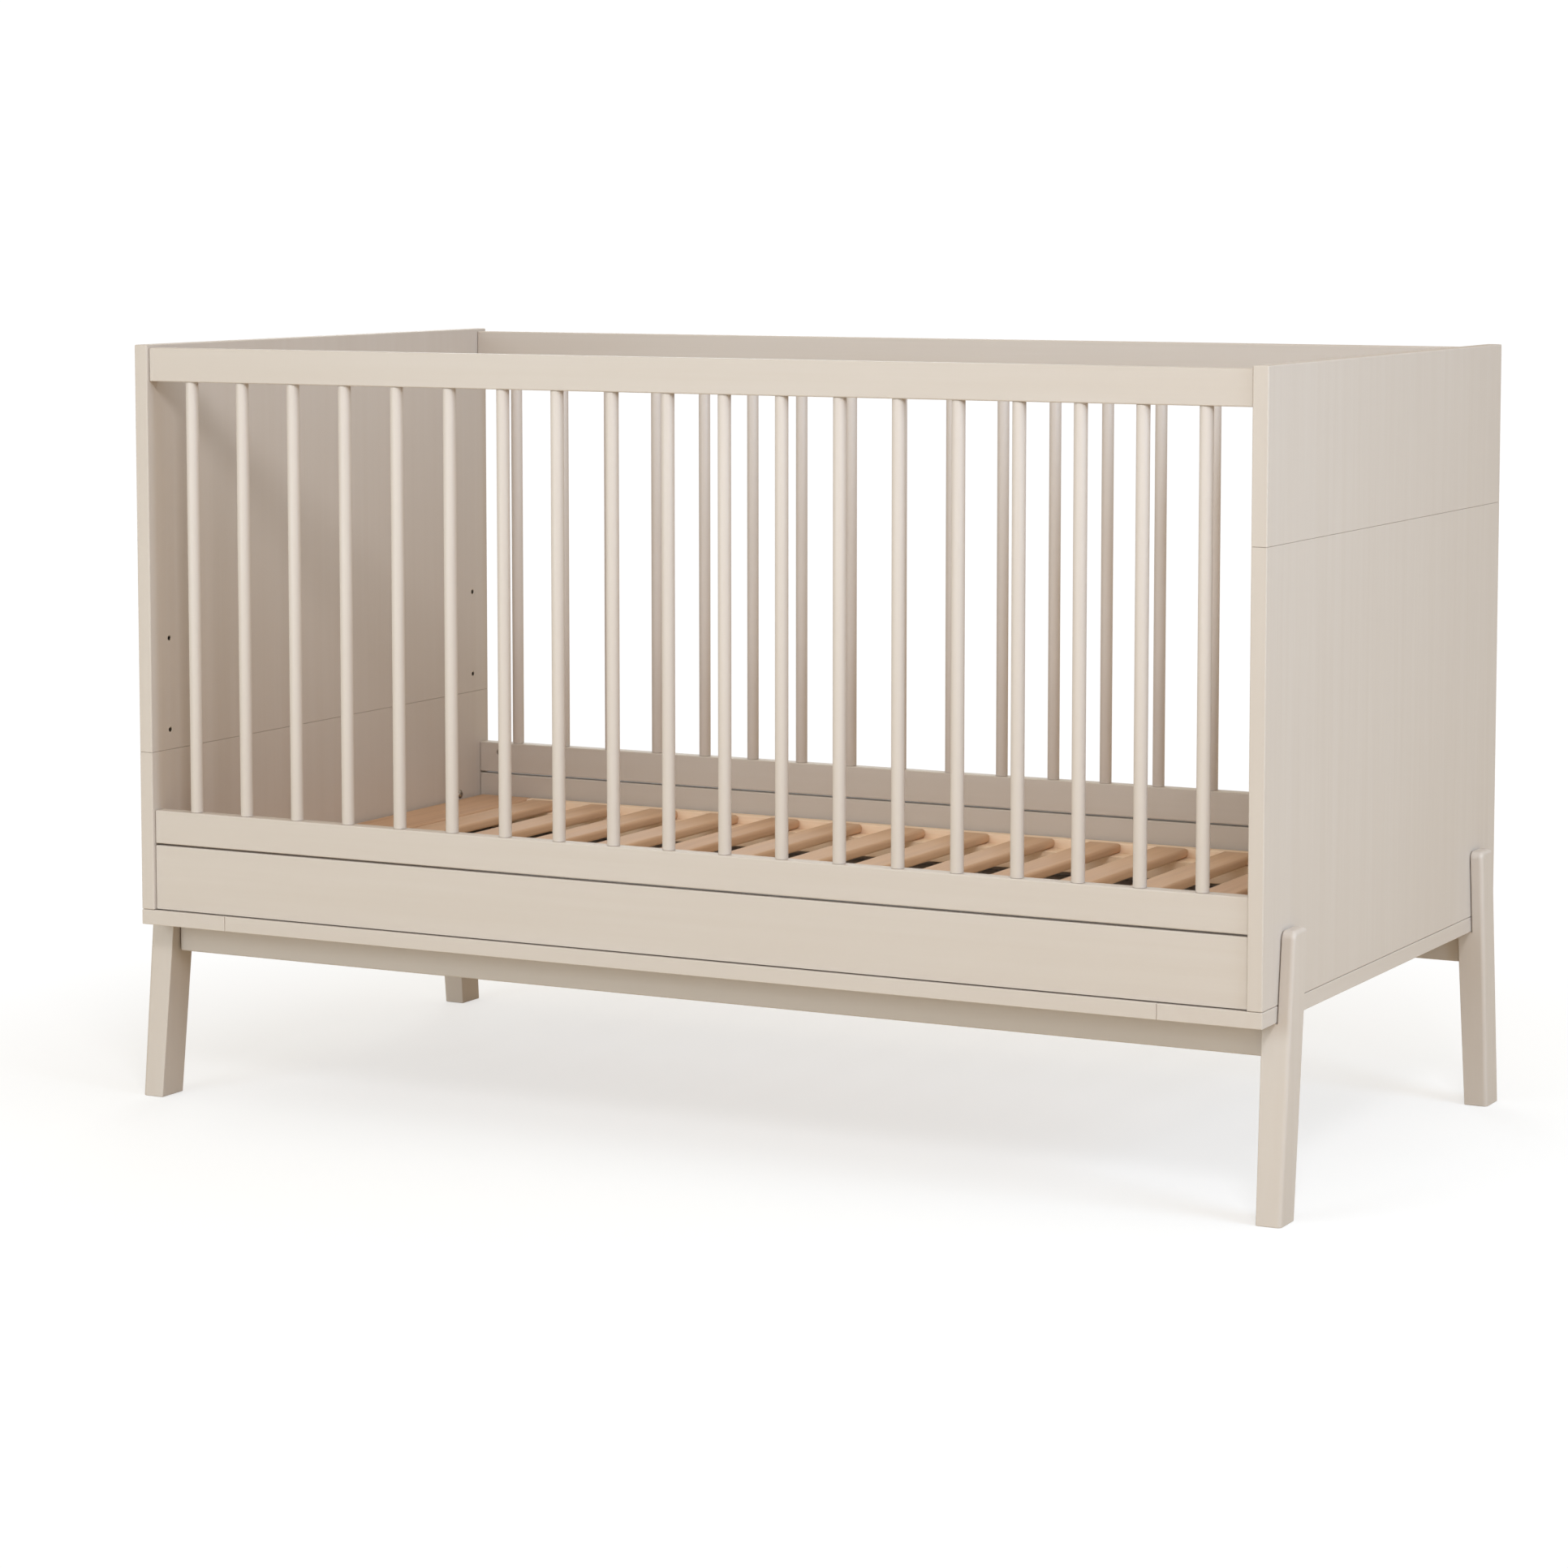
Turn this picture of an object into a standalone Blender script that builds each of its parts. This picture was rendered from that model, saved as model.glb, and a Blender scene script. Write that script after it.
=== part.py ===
"""Baby crib: a 140 x 70 cm cot bed with solid end panels, barred sides and an adjustable slatted base.

Metres, +Z up, X along the bed, origin on the floor under the middle of the bed.
The foot end is at -X and the head end at +X. The front is at -Y.
"""

import math

import bmesh
import bpy
from mathutils import Matrix, Vector

# Overall size of the box that the bed is: end panels, sides and the base frame under them.
GAP = 0.0003  # clearance between pieces that touch
INNER_LENGTH = 1.404
WIDTH = 0.770
BOARD = 0.018  # thickness of every painted board
PANEL_INNER_X = INNER_LENGTH / 2
PANEL_OUTER_X = PANEL_INNER_X + BOARD
FLOOR_TO_BASE = 0.215  # underside of the base frame
BASE_TOP = FLOOR_TO_BASE + BOARD
PANEL_HEIGHT = 0.680
PANEL_TOP = BASE_TOP + PANEL_HEIGHT

# Each end panel is two boards, so that the upper one comes off when the cot becomes a bed.
FOOT_LOWER_HEIGHT = 0.191
HEAD_LOWER_HEIGHT = 0.491

# Side rails, the apron under them, and the round bars between them.
RAIL_INSET = 0.004  # how far a side stands behind the end panels' edges
RAIL_HEIGHT = 0.040
TOP_RAIL_DROP = 0.0035  # below the end panels' top edges
TOP_RAIL_LOW = PANEL_TOP - TOP_RAIL_DROP - RAIL_HEIGHT
BOTTOM_RAIL_LOW = 0.314
BOTTOM_RAIL_HIGH = BOTTOM_RAIL_LOW + RAIL_HEIGHT
APRON_GROOVE = 0.0023  # shadow gap between the apron and the bottom rail
SIDE_OUTER_Y = WIDTH / 2 - RAIL_INSET
SIDE_INNER_Y = SIDE_OUTER_Y - BOARD
SIDE_MIDDLE_Y = (SIDE_OUTER_Y + SIDE_INNER_Y) / 2

BARS_PER_SIDE = 19
BAR_PITCH = 0.0718
BAR_RADIUS = 0.0075
BAR_SIDES = 10
TENON_RADIUS = 0.005
TENON_LENGTH = 0.010
SOCKET_SPARE = 0.001  # how much deeper a socket is than its tenon

# Base frame: two boards across the ends, two long boards between them.
BASE_END_WIDTH = 0.120
BASE_LONG_WIDTH = 0.120

# Legs: each leans outwards in Y, stands under the base and climbs the outer face of the end panel.
LEG_LEAN = math.radians(6)
LEG_FOOT_REACH = 0.366  # outermost point of a foot in Y
LEG_DEPTH = 0.0425  # along Y
LEG_CHEEK = 0.016  # the part outside the end panel, along X
LEG_SHOULDER = 0.0175  # the part under the base frame, along X
LEG_TAPER = 0.004  # how much thinner the shoulder is at the floor
LEG_TOP = 0.313
LEG_TOP_RADIUS = 0.009
LEG_EDGE_RADIUS = 0.005
CURVE_SEGMENTS = 3
EDGE_SEGMENTS = 2

STRETCHER_HEIGHT = 0.039
STRETCHER_THICKNESS = 0.020
STRETCHER_OUTER_Y = 0.332

# Slatted mattress base, one glued unit, shown at its lowest setting.
SLAT_TOP = 0.283
SLAT_THICKNESS = 0.012
SLAT_WIDTH = 0.045
SLAT_PITCH = 0.0905
SLAT_COUNT = 14
SLAT_EDGE_RADIUS = 0.0045
END_SLAT_OUTER_X = 0.698
END_SLAT_WIDTH = 0.080
BEARER_OUTER_Y = 0.358
BEARER_LIP = 0.014  # thickness of the upright lip that the slats end against
BEARER_LEDGE = 0.028  # width of the ledge inside the lip, that the slats lie on
BEARER_LOW = 0.246
BEARER_HALF_LENGTH = 0.680
GLUE_OVERLAP = 0.001  # lets the glued pieces join into one body

# Steel support pins that the base rests on, and the rows of holes that they fit.
PIN_Y = 0.347
PIN_HEAD_RADIUS = 0.006
PIN_HEAD_LENGTH = 0.008
PIN_HEAD_START = 0.004  # shank shown between the panel and the head
PIN_SHANK_RADIUS = 0.003
PIN_SHANK_BURIED = 0.0115
PIN_HOLE_RADIUS = 0.0034
PIN_HOLE_DEPTH = 0.0125
PIN_SIDES = 16
PIN_LOW_Z = SLAT_TOP - SLAT_THICKNESS - PIN_HEAD_RADIUS - GAP
PIN_LEVELS = (PIN_LOW_Z, 0.448, 0.559)  # the three mattress heights

MERGE = 1e-6


def clear_scene():
    """Removes whatever the file opened with."""
    for thing in list(bpy.data.objects):
        bpy.data.objects.remove(thing, do_unlink=True)


def make_material(name, colour, roughness, metallic=0.0):
    """A Principled material of one colour."""
    material = bpy.data.materials.new(name)
    material.use_nodes = True
    shader = material.node_tree.nodes["Principled BSDF"]
    shader.inputs["Base Color"].default_value = (*colour, 1.0)
    shader.inputs["Roughness"].default_value = roughness
    shader.inputs["Metallic"].default_value = metallic
    material.diffuse_color = (*colour, 1.0)
    return material


def make_object(name, mesh, material, location=(0, 0, 0)):
    """Puts a mesh in the scene as a named object."""
    if material and not mesh.materials:
        mesh.materials.append(material)
    thing = bpy.data.objects.new(name, mesh)
    thing.location = location
    bpy.context.scene.collection.objects.link(thing)
    return thing


def to_mesh(shape, name):
    """Turns a bmesh into a mesh with its faces pointing out."""
    shape.normal_update()
    bmesh.ops.recalc_face_normals(shape, faces=shape.faces)
    mesh = bpy.data.meshes.new(name)
    shape.to_mesh(mesh)
    shape.free()
    return mesh


def add_box(shape, low, high):
    """Adds a box between two corners to a bmesh and returns its vertices."""
    low, high = Vector(low), Vector(high)
    place = Matrix.Translation((low + high) / 2) @ Matrix.Diagonal((*(high - low), 1.0))
    return bmesh.ops.create_cube(shape, size=1.0, matrix=place)["verts"]


def make_board(name, low, high, material):
    """A square-edged board between two corners."""
    shape = bmesh.new()
    add_box(shape, low, high)
    return make_object(name, to_mesh(shape, name), material)


def add_rod(shape, start, end, radius, sides):
    """Adds a closed cylinder between two points to a bmesh."""
    start, end = Vector(start), Vector(end)
    axis = end - start
    turn = axis.to_track_quat("Z", "Y").to_matrix().to_4x4()
    bmesh.ops.create_cone(
        shape,
        cap_ends=True,
        segments=sides,
        radius1=radius,
        radius2=radius,
        depth=axis.length,
        matrix=Matrix.Translation((start + end) / 2) @ turn,
    )


def turned_mesh(name, profile, sides):
    """A mesh turned round Z from (radius, height) points that start and end on the axis."""
    shape = bmesh.new()
    points = [shape.verts.new((radius, 0, height)) for radius, height in profile]
    edges = [shape.edges.new(pair) for pair in zip(points, points[1:])]
    bmesh.ops.spin(
        shape,
        geom=points + edges,
        cent=(0, 0, 0),
        axis=(0, 0, 1),
        angle=math.tau,
        steps=sides,
        use_merge=True,
    )
    bmesh.ops.remove_doubles(shape, verts=shape.verts, dist=MERGE)
    mesh = to_mesh(shape, name)
    mesh.shade_smooth()
    mesh.set_sharp_from_angle(angle=math.radians(40))
    return mesh


def drill(board, rods, sides):
    """Cuts blind holes in a board. A rod is (start, end, radius)."""
    shape = bmesh.new()
    for start, end, radius in rods:
        add_rod(shape, start, end, radius, sides)
    cutter = make_object(board.name + "_cutter", to_mesh(shape, "cutter"), None)
    cutter.hide_render = True
    cutter.display_type = "WIRE"
    cut = board.modifiers.new("holes", "BOOLEAN")
    cut.operation = "DIFFERENCE"
    cut.solver = "EXACT"
    cut.object = cutter


def bar_centres():
    """X of each bar in a side, evenly spaced about the middle."""
    return [(i - (BARS_PER_SIDE - 1) / 2) * BAR_PITCH for i in range(BARS_PER_SIDE)]


def pin_holes(side_x, low, high):
    """The blind pin holes of one panel board, from its inner face, at the heights it covers."""
    mouth = side_x * (PANEL_INNER_X - BOARD / 2)
    bottom = side_x * (PANEL_INNER_X + PIN_HOLE_DEPTH)
    return [
        ((mouth, y, z), (bottom, y, z), PIN_HOLE_RADIUS)
        for z in PIN_LEVELS
        for y in (-PIN_Y, PIN_Y)
        if low < z < high
    ]


def make_end_panel(end, side_x, lower_height, material):
    """The two boards of one end, with their rows of pin holes."""
    split = BASE_TOP + lower_height
    for part, low, high in (
        ("lower", BASE_TOP + GAP, split - GAP / 2),
        ("upper", split + GAP / 2, PANEL_TOP),
    ):
        inner, outer = side_x * PANEL_INNER_X, side_x * PANEL_OUTER_X
        corner_low = (min(inner, outer), -WIDTH / 2, low)
        corner_high = (max(inner, outer), WIDTH / 2, high)
        panel = make_board(f"{end}_panel_{part}", corner_low, corner_high, material)
        holes = pin_holes(side_x, low, high)
        if holes:
            drill(panel, holes, PIN_SIDES)


def make_rail(name, side_y, low, high, material, socket_from=None):
    """A board along one side. socket_from is the face, low or high, that the bars enter."""
    half = PANEL_INNER_X - GAP
    near, far = sorted((side_y * SIDE_INNER_Y, side_y * SIDE_OUTER_Y))
    rail = make_board(name, (-half, near, low), (half, far, high), material)
    if socket_from is None:
        return
    depth = TENON_LENGTH + SOCKET_SPARE
    mouth, bottom = (high + depth, high - depth) if socket_from == "high" else (low - depth, low + depth)
    y = side_y * SIDE_MIDDLE_Y
    sockets = [((x, y, mouth), (x, y, bottom), TENON_RADIUS + GAP) for x in bar_centres()]
    drill(rail, sockets, BAR_SIDES)


def bar_mesh():
    """A round bar with a thinner tenon at each end, standing on its lower tenon."""
    shoulder_low = TENON_LENGTH
    shoulder_high = shoulder_low + TOP_RAIL_LOW - BOTTOM_RAIL_HIGH - 2 * GAP
    top = shoulder_high + TENON_LENGTH
    profile = (
        (0, 0),
        (TENON_RADIUS, 0),
        (TENON_RADIUS, shoulder_low),
        (BAR_RADIUS, shoulder_low),
        (BAR_RADIUS, shoulder_high),
        (TENON_RADIUS, shoulder_high),
        (TENON_RADIUS, top),
        (0, top),
    )
    return turned_mesh("bar", profile, BAR_SIDES)


def make_side(side, side_y, paint, bar_shape, bar_paint):
    """Top rail, bottom rail, apron and bars of one long side."""
    make_rail(f"{side}_top_rail", side_y, TOP_RAIL_LOW, TOP_RAIL_LOW + RAIL_HEIGHT, paint, "low")
    make_rail(f"{side}_bottom_rail", side_y, BOTTOM_RAIL_LOW, BOTTOM_RAIL_HIGH, paint, "high")
    make_rail(f"{side}_apron", side_y, BASE_TOP + GAP, BOTTOM_RAIL_LOW - APRON_GROOVE, paint)
    foot = BOTTOM_RAIL_HIGH + GAP - TENON_LENGTH
    for number, x in enumerate(bar_centres(), 1):
        place = (x, side_y * SIDE_MIDDLE_Y, foot)
        make_object(f"{side}_bar_{number:02}", bar_shape, bar_paint, place)


def add_loop(shape, half_x, half_y, z):
    """Adds a rectangle about the middle of the bed and returns its edges."""
    signs = ((-1, -1), (1, -1), (1, 1), (-1, 1))
    corners = [shape.verts.new((x * half_x, y * half_y, z)) for x, y in signs]
    return [shape.edges.new(pair) for pair in zip(corners, corners[1:] + corners[:1])]


def make_base_frame(material):
    """The flat frame under the bed: four boards glued into a ring, open in the middle."""
    shape = bmesh.new()
    outside = add_loop(shape, PANEL_OUTER_X, WIDTH / 2, FLOOR_TO_BASE)
    inside = add_loop(shape, PANEL_OUTER_X - BASE_END_WIDTH, WIDTH / 2 - BASE_LONG_WIDTH, FLOOR_TO_BASE)
    ring = bmesh.ops.bridge_loops(shape, edges=outside + inside)["faces"]
    grown = bmesh.ops.extrude_face_region(shape, geom=ring, use_keep_orig=True)["geom"]
    top = [v for v in grown if isinstance(v, bmesh.types.BMVert)]
    bmesh.ops.translate(shape, verts=top, vec=(0, 0, BOARD))
    make_object("base_frame", to_mesh(shape, "base_frame"), material)


def leg_outer_y(z):
    """Y of a leg's outward edge at a height."""
    return LEG_FOOT_REACH - z * math.tan(LEG_LEAN)


def round_edges(shape, edges, radius, segments):
    """Rounds edges of a bmesh."""
    bmesh.ops.bevel(shape, geom=edges, offset=radius, segments=segments, affect="EDGES", profile=0.5)


def leg_mesh(name, side_x, side_y):
    """A leaning leg: a full-height cheek outside the end panel, and a shoulder under the base."""
    inner, outer = PANEL_OUTER_X + GAP, PANEL_OUTER_X + LEG_CHEEK
    shoulder = FLOOR_TO_BASE - GAP
    shape = bmesh.new()
    for vert in add_box(shape, (inner, 0, 0), (outer, 1, LEG_TOP)):
        vert.co.y = leg_outer_y(vert.co.z) - LEG_DEPTH * (1 - vert.co.y)

    # The inward face is cut at shoulder height, and what is below the cut grows inwards.
    everything = shape.verts[:] + shape.edges[:] + shape.faces[:]
    bmesh.ops.bisect_plane(shape, geom=everything, plane_co=(0, 0, shoulder), plane_no=(0, 0, 1))
    below = [f for f in shape.faces if f.normal.x < -0.5 and f.calc_center_median().z < shoulder]
    grown = bmesh.ops.extrude_face_region(shape, geom=below)["geom"]
    bmesh.ops.delete(shape, geom=below, context="FACES_ONLY")
    for vert in (v for v in grown if isinstance(v, bmesh.types.BMVert)):
        vert.co.x -= LEG_SHOULDER - LEG_TAPER * (1 - vert.co.z / shoulder)

    # The cheek's top corners are rounded, then the edge round its outer face, but not round the foot.
    at_top = [e for e in shape.edges if min(v.co.z for v in e.verts) > LEG_TOP - MERGE]
    corners = [e for e in at_top if e.calc_length() < LEG_CHEEK + MERGE]
    round_edges(shape, corners, LEG_TOP_RADIUS, CURVE_SEGMENTS)
    on_outer = [e for e in shape.edges if min(v.co.x for v in e.verts) > outer - MERGE]
    above_floor = [e for e in on_outer if max(v.co.z for v in e.verts) > MERGE]
    rim = [e for e in above_floor if e.calc_face_angle() > LEG_LEAN]
    round_edges(shape, rim, LEG_EDGE_RADIUS, EDGE_SEGMENTS)
    bmesh.ops.scale(shape, verts=shape.verts, vec=(side_x, side_y, 1))
    return to_mesh(shape, name)


def make_stretcher(side, side_y, material):
    """The rail under the base frame that joins the two legs of one side."""
    half = PANEL_OUTER_X - LEG_SHOULDER - GAP
    near, far = sorted((side_y * STRETCHER_OUTER_Y, side_y * (STRETCHER_OUTER_Y - STRETCHER_THICKNESS)))
    high = FLOOR_TO_BASE - GAP
    make_board(f"{side}_stretcher", (-half, near, high - STRETCHER_HEIGHT), (half, far, high), material)


def bearer_shape():
    """The two side bearers of the slatted base: a ledge under the slats, a lip against their ends."""
    shape = bmesh.new()
    lip_inner = BEARER_OUTER_Y - BEARER_LIP
    lip_half = END_SLAT_OUTER_X - END_SLAT_WIDTH + GLUE_OVERLAP
    ledge_top = SLAT_TOP - SLAT_THICKNESS + GLUE_OVERLAP
    for side_y in (-1, 1):
        near, far = sorted((side_y * BEARER_OUTER_Y, side_y * (lip_inner - BEARER_LEDGE)))
        add_box(shape, (-BEARER_HALF_LENGTH, near, BEARER_LOW), (BEARER_HALF_LENGTH, far, ledge_top))

    # Cuts mark out the lip on top of each bearer, and it is drawn up to the slats' level.
    for side in (-1, 1):
        for cut, across in (((0, side * lip_inner, 0), (0, 1, 0)), ((side * lip_half, 0, 0), (1, 0, 0))):
            everything = shape.verts[:] + shape.edges[:] + shape.faces[:]
            bmesh.ops.bisect_plane(shape, geom=everything, plane_co=cut, plane_no=across)
    shape.normal_update()
    tops = [(f, f.calc_center_median()) for f in shape.faces if f.normal.z > 0.5]
    lips = [f for f, middle in tops if abs(middle.y) > lip_inner and abs(middle.x) < lip_half]
    grown = bmesh.ops.extrude_face_region(shape, geom=lips)["geom"]
    bmesh.ops.delete(shape, geom=lips, context="FACES_ONLY")
    raised = [v for v in grown if isinstance(v, bmesh.types.BMVert)]
    bmesh.ops.translate(shape, verts=raised, vec=(0, 0, SLAT_TOP - ledge_top))
    return shape


def make_slat_base(material):
    """Slats and end boards glued to two bearers: one body, made by a union."""
    base = make_object("slat_base", to_mesh(bearer_shape(), "slat_base"), material)
    first = -(SLAT_COUNT - 1) / 2 * SLAT_PITCH
    slat_half = BEARER_OUTER_Y - BEARER_LIP + GLUE_OVERLAP
    strips = [(first + i * SLAT_PITCH, SLAT_WIDTH, slat_half) for i in range(SLAT_COUNT)]
    end_middle = END_SLAT_OUTER_X - END_SLAT_WIDTH / 2
    strips += [(side_x * end_middle, END_SLAT_WIDTH, BEARER_OUTER_Y) for side_x in (-1, 1)]
    slats = bmesh.new()
    for middle, width, half_length in strips:
        low = (middle - width / 2, -half_length, SLAT_TOP - SLAT_THICKNESS)
        high = (middle + width / 2, half_length, SLAT_TOP)
        add_box(slats, low, high)
    long_edges = [e for e in slats.edges if abs(e.verts[0].co.y - e.verts[1].co.y) > END_SLAT_WIDTH]
    upper = [e for e in long_edges if e.verts[0].co.z > SLAT_TOP - MERGE]
    round_edges(slats, upper, SLAT_EDGE_RADIUS, EDGE_SEGMENTS)
    layer = make_object("slat_layer", to_mesh(slats, "slat_layer"), material)
    layer.hide_render = True
    layer.display_type = "WIRE"
    join = base.modifiers.new("slats", "BOOLEAN")
    join.operation = "UNION"
    join.solver = "EXACT"
    join.object = layer


def pin_mesh():
    """A support pin along +Z: shank first, then the round head that carries the base."""
    head_low = PIN_SHANK_BURIED + PIN_HEAD_START
    head_high = head_low + PIN_HEAD_LENGTH
    profile = (
        (0, 0),
        (PIN_SHANK_RADIUS, 0),
        (PIN_SHANK_RADIUS, head_low),
        (PIN_HEAD_RADIUS, head_low),
        (PIN_HEAD_RADIUS, head_high),
        (0, head_high),
    )
    return turned_mesh("pin", profile, PIN_SIDES)


def make_pins(material):
    """Four pins in the lowest row of holes, their heads facing the middle of the bed."""
    shape = pin_mesh()
    for end, side_x in (("foot", -1), ("head", 1)):
        for side, side_y in (("front", -1), ("rear", 1)):
            start = (side_x * (PANEL_INNER_X + PIN_SHANK_BURIED), side_y * PIN_Y, PIN_LOW_Z)
            pin = make_object(f"support_pin_{end}_{side}", shape, material, start)
            pin.rotation_euler.y = -side_x * math.pi / 2


def build():
    """Makes the whole crib."""
    clear_scene()
    panel_paint = make_material("panel_paint", (0.64, 0.58, 0.51), 0.42)
    bar_paint = make_material("bar_paint", (0.67, 0.60, 0.53), 0.38)
    raw_wood = make_material("raw_wood", (0.46, 0.31, 0.18), 0.6)
    steel = make_material("steel", (0.55, 0.55, 0.56), 0.3, 1.0)

    make_end_panel("foot", -1, FOOT_LOWER_HEIGHT, panel_paint)
    make_end_panel("head", 1, HEAD_LOWER_HEIGHT, panel_paint)
    bar_shape = bar_mesh()
    for side, side_y in (("front", -1), ("rear", 1)):
        make_side(side, side_y, panel_paint, bar_shape, bar_paint)
        make_stretcher(side, side_y, panel_paint)
        for end, side_x in (("foot", -1), ("head", 1)):
            name = f"leg_{end}_{side}"
            make_object(name, leg_mesh(name, side_x, side_y), panel_paint)
    make_base_frame(panel_paint)
    make_slat_base(raw_wood)
    make_pins(steel)


build()
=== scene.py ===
import math

import bmesh
import bpy
from mathutils import Matrix, Vector


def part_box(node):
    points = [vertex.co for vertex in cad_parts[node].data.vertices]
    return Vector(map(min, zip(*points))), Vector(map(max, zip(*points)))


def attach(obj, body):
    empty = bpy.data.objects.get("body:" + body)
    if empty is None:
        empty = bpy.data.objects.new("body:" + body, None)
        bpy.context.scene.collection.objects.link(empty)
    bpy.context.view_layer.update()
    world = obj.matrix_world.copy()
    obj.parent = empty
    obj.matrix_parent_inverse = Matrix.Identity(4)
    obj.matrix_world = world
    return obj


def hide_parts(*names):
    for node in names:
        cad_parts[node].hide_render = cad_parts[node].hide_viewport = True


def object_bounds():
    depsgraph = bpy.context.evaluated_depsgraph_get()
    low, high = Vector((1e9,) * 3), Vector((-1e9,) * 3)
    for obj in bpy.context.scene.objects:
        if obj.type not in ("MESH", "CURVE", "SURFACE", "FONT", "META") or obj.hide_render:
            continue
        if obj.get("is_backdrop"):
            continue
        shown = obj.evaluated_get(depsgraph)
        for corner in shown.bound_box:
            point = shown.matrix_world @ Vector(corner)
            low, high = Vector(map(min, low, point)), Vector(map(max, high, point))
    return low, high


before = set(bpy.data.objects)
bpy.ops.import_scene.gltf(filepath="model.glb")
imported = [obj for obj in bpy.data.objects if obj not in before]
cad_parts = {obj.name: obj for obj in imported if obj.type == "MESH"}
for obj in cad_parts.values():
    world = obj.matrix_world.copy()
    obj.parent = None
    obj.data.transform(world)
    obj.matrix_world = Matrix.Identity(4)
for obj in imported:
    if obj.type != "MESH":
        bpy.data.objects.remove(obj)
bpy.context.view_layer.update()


# ---- Base frame ------------------------------------------------------------------------------
# The flat ring that the crib stands on: four 18 mm boards, two across the ends and two long ones
# butted between them and glued, so a hairline joint shows on the edges. Like all the painted wood
# it is sprayed in a satin cream lacquer, thin enough for the grain to show through a little.
CREAM = (0.594, 0.537, 0.490)
CREAM_DEEP = (0.572, 0.510, 0.458)
WORN_CREAM = (0.630, 0.559, 0.490)
LACQUER_IOR = 1.46
SATIN = (0.40, 0.50)  # roughness of the lacquer, between the fibres and on them
FIGURE = (60.0, 1.6)  # bands of the wood's figure to the metre, across the grain and along it
FIBRES = (520.0, 9.0)  # its fibres, in the same two directions
MIST = (420.0, 420.0, 420.0)  # specks of the spray to the metre
CLOUD = (3.1, 3.1, 3.1)  # patches of a slightly thinner coat to the metre
MIDDLE = (0.35, 0.65)  # most of a noise's values lie between these, and nearly all in the next
WIDE = (0.3, 0.7)
FIGURE_SHARE = 0.7  # how much of the deeper cream the figure takes, and the patches
CLOUD_SHARE = 0.35
WORN_SHARE = 0.55
WORN_WIDTH = 0.0022  # the lacquer is thinner this close to an edge
WORN_TURN = (0.99, 0.85)  # from a flat face to the middle of an edge
WORN_SAMPLES = 4
FIGURE_RELIEF = (0.00025, 0.2)  # depth in metres, and how strongly it shows
FIBRE_RELIEF = (0.00012, 0.35)
MIST_RELIEF = (0.00006, 0.3)
EASE = 0.0015  # rounding sanded on the edge of a painted board
EASE_STEPS = 3
FRAME_EASE = 0.001
FRAME_BOARD = 0.120  # width of each base frame board
JOINT = 0.00015  # half of a hairline joint
SAME = 0.00015  # places closer together than this count as one
FACING = 0.9  # cosine past which a face looks along an axis


def stretched(along, fine, slow):
    """Scale of a grain pattern that runs along one axis: fine across it and slow along it."""
    scale = [fine, fine, fine]
    scale["XYZ".index(along)] = slow
    return scale


def grain_noise(tree, scale, detail, roughness=0.5):
    """The value of a noise on object coordinates, with its scale along each axis."""
    place = tree.nodes.new("ShaderNodeTexCoord")
    turn = tree.nodes.new("ShaderNodeMapping")
    noise = tree.nodes.new("ShaderNodeTexNoise")
    turn.inputs["Scale"].default_value = scale
    noise.inputs["Scale"].default_value = 1.0
    noise.inputs["Detail"].default_value = detail
    noise.inputs["Roughness"].default_value = roughness
    tree.links.new(place.outputs["Object"], turn.inputs["Vector"])
    tree.links.new(turn.outputs["Vector"], noise.inputs["Vector"])
    return noise.outputs["Fac"]


def spread(tree, value, low, high, to_low, to_high):
    """Stretches the part of a value between low and high over a new range."""
    reach = tree.nodes.new("ShaderNodeMapRange")
    ends = {"From Min": low, "From Max": high, "To Min": to_low, "To Max": to_high}
    for socket, number in ends.items():
        reach.inputs[socket].default_value = number
    tree.links.new(value, reach.inputs["Value"])
    return reach.outputs["Result"]


def blended(tree, share, first, second):
    """A share of the second colour over the first; each may be a colour or a socket."""
    mix = tree.nodes.new("ShaderNodeMix")
    mix.data_type = "RGBA"
    tree.links.new(share, mix.inputs["Factor"])
    for socket, colour in (("A", first), ("B", second)):
        slot = [s for s in mix.inputs if s.name == socket and s.type == "RGBA"][0]
        if isinstance(colour, tuple):
            slot.default_value = (*colour, 1.0)
        else:
            tree.links.new(colour, slot)
    return [s for s in mix.outputs if s.type == "RGBA"][0]


def raised(tree, height, depth, strength, under=None):
    """A bump of that depth in metres, laid over another one where there is one under it."""
    bump = tree.nodes.new("ShaderNodeBump")
    bump.inputs["Distance"].default_value = depth
    bump.inputs["Strength"].default_value = strength
    tree.links.new(height, bump.inputs["Height"])
    if under is not None:
        tree.links.new(under, bump.inputs["Normal"])
    return bump.outputs["Normal"]


def near_edge(tree, radius):
    """The value is 1 on a flat face, and less within a radius of an edge."""
    edge = tree.nodes.new("ShaderNodeBevel")
    edge.samples = WORN_SAMPLES
    edge.inputs["Radius"].default_value = radius
    flat = tree.nodes.new("ShaderNodeNewGeometry")
    match = tree.nodes.new("ShaderNodeVectorMath")
    match.operation = "DOT_PRODUCT"
    tree.links.new(edge.outputs["Normal"], match.inputs[0])
    tree.links.new(flat.outputs["Normal"], match.inputs[1])
    return match.outputs["Value"]


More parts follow.
